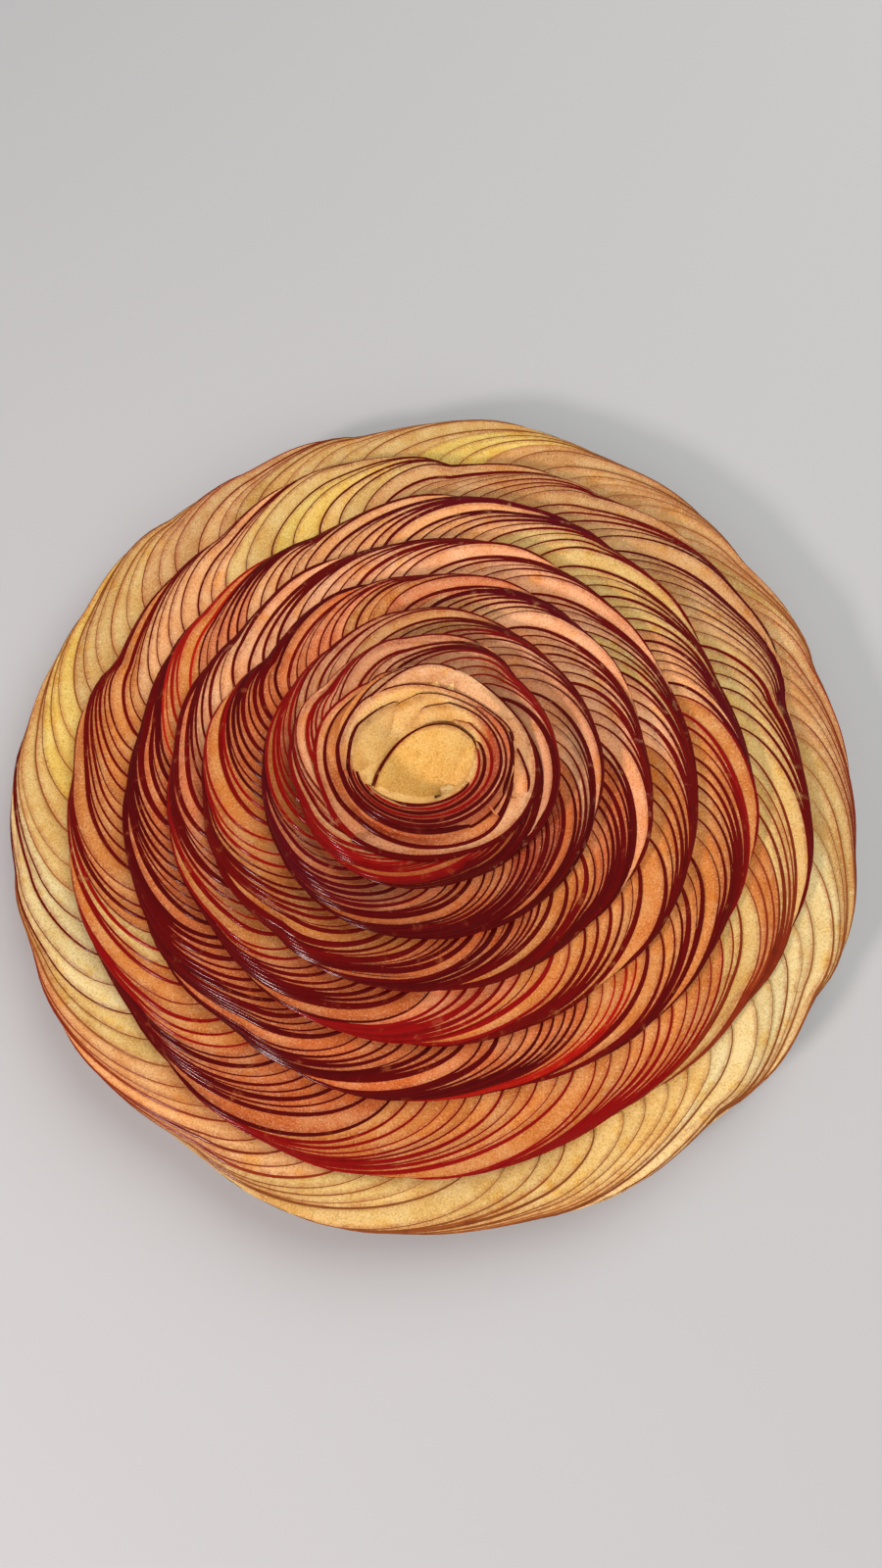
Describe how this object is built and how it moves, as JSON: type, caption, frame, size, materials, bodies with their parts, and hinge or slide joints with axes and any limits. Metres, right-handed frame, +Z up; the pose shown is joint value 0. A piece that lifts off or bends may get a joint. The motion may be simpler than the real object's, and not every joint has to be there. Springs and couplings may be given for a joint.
{
  "type": "french apple tart",
  "caption": "Whole round fruit tart: thin unpeeled slices fanned in rising rings on a pastry case, wound to a rose heart with a dimple.",
  "frame": {"origin": "on the table under the middle of the pastry case's flat base", "axes": "+Z up through the heart of the rose; -Y is the side towards the picture's camera"},
  "size_m": [0.2712, 0.2716, 0.0586],
  "materials": {
    "pastry": "baked shortcrust, golden brown, dry and slightly grainy",
    "fruit_pale": "glazed baked fruit flesh, pale gold, with fine brown-red skin edges",
    "fruit_amber": "glazed baked fruit flesh, amber, with red skin edges",
    "fruit_red": "glazed baked fruit, orange-pink flesh between glossy red skin edges",
    "fruit_wine": "glazed baked fruit, tan flesh between deep wine-red skin edges",
    "fruit_heart": "glazed baked fruit, pink-tan flesh between wine-red skin edges",
    "fruit_flesh": "glazed fruit flesh, smooth yellow with fine brown speckle"
  },
  "bodies": {
    "root": {"pastry_case": "pastry", "fruit_ring_1": "fruit_pale", "fruit_ring_2": "fruit_amber", "fruit_ring_3": "fruit_red", "fruit_ring_4": "fruit_red", "fruit_ring_5": "fruit_wine", "fruit_ring_6": "fruit_wine", "fruit_ring_7": "fruit_red", "fruit_ring_8": "fruit_heart", "heart_slice": "fruit_flesh"}
  },
  "joints": []
}
